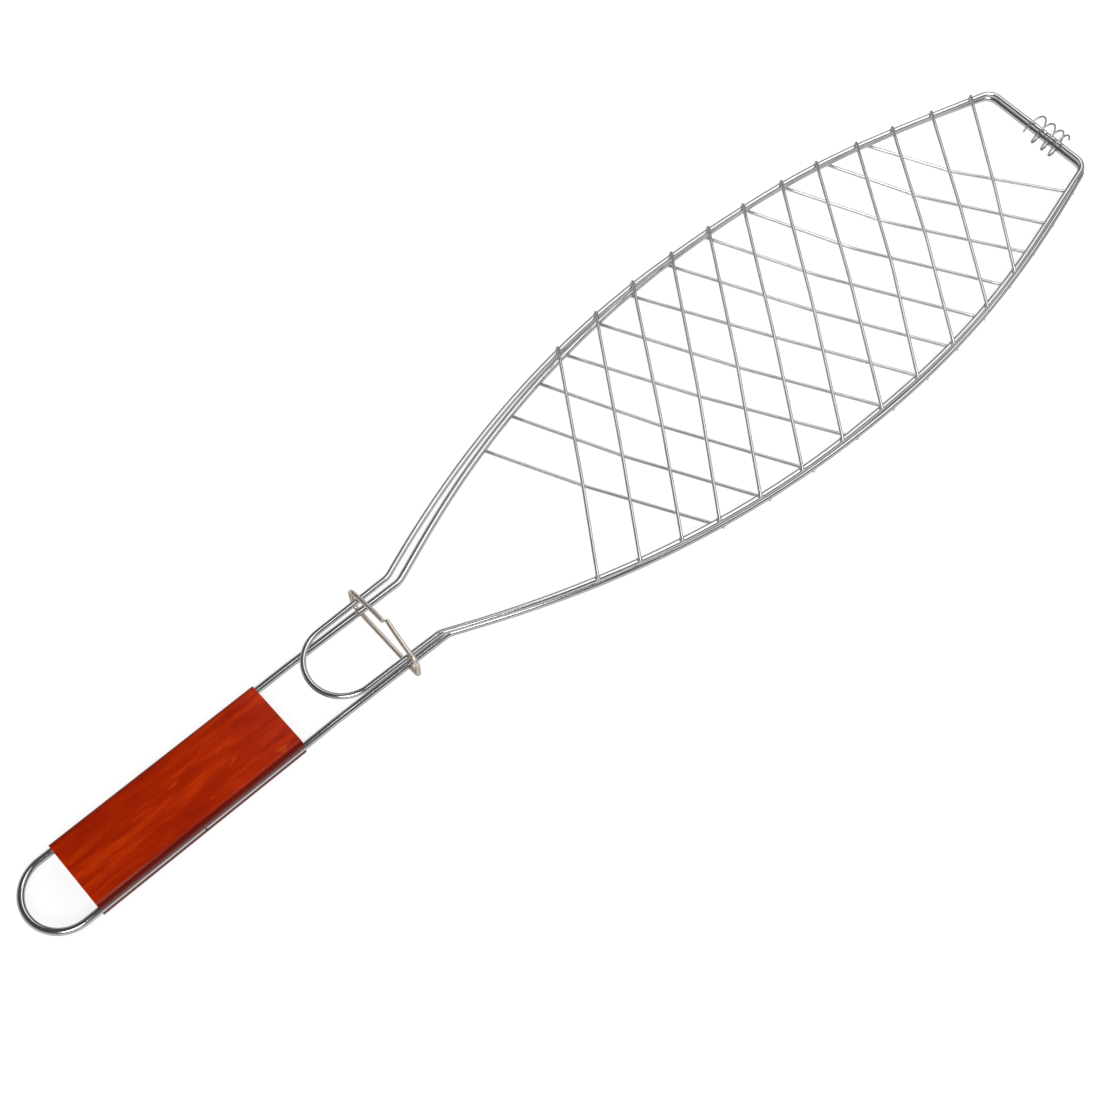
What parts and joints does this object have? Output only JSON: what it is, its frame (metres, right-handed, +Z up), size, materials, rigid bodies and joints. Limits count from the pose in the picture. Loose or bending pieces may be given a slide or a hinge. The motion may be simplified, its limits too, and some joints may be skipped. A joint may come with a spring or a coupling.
{
  "type": "hinged wire grill basket",
  "caption": "Flat hinged wire basket that clamps one whole fish between two grids, with a long neck, a sliding lock ring, a wooden grip and a hanging loop.",
  "frame": {"origin": "under the middle of the whole length, on the surface that the lowest wires rest on", "axes": "+X from the hanging loop to the hinge, +Y across the basket, +Z up through the lid"},
  "size_m": [0.5784, 0.1234, 0.0226],
  "materials": {
    "frame_wire": "bright plated wire",
    "cross_wire": "bright plated wire, slightly dulled",
    "ring_wire": "warm satin wire",
    "coil_wire": "satin spring wire",
    "grip_wood": "orange-red stained and lacquered, satin"
  },
  "bodies": {
    "base": {"lower_frame": "frame_wire", "wood_grip": "grip_wood", "lower_cross_wire_01": "cross_wire", "lower_cross_wire_02": "cross_wire", "lower_cross_wire_03": "cross_wire", "lower_cross_wire_04": "cross_wire", "lower_cross_wire_05": "cross_wire", "lower_cross_wire_06": "cross_wire", "lower_cross_wire_07": "cross_wire", "lower_cross_wire_08": "cross_wire", "lower_cross_wire_09": "cross_wire", "lower_cross_wire_10": "cross_wire", "lower_cross_wire_11": "cross_wire", "lower_cross_wire_12": "cross_wire"},
    "lid": {"upper_frame": "frame_wire", "upper_loop": "frame_wire", "upper_cross_wire_01": "cross_wire", "upper_cross_wire_02": "cross_wire", "upper_cross_wire_03": "cross_wire", "upper_cross_wire_04": "cross_wire", "upper_cross_wire_05": "cross_wire", "upper_cross_wire_06": "cross_wire", "upper_cross_wire_07": "cross_wire", "upper_cross_wire_08": "cross_wire", "upper_cross_wire_09": "cross_wire", "upper_cross_wire_10": "cross_wire", "upper_cross_wire_11": "cross_wire", "upper_cross_wire_12": "cross_wire"},
    "ring": {"lock_ring": "ring_wire"},
    "coil": {"hinge_coil": "coil_wire"}
  },
  "joints": [
    {"name": "lid_open", "type": "hinge", "parent": "base", "child": "lid", "pos_m": [0.28147, 0, 0.01071], "axis": [0, 1, 0], "range_deg": [0, 180]},
    {"name": "ring_slide", "type": "slide", "parent": "base", "child": "ring", "axis": [1, 0, 0], "range_m": [-0.05, 0.012]},
    {"name": "coil_turn", "type": "hinge", "parent": "base", "child": "coil", "pos_m": [0.28257, 0, 0.00846], "axis": [0, 1, 0], "range_deg": [0, 90]}
  ],
  "couplings": [
    {"joint": "coil_turn", "follows": "lid_open", "ratio": 0.5}
  ]
}
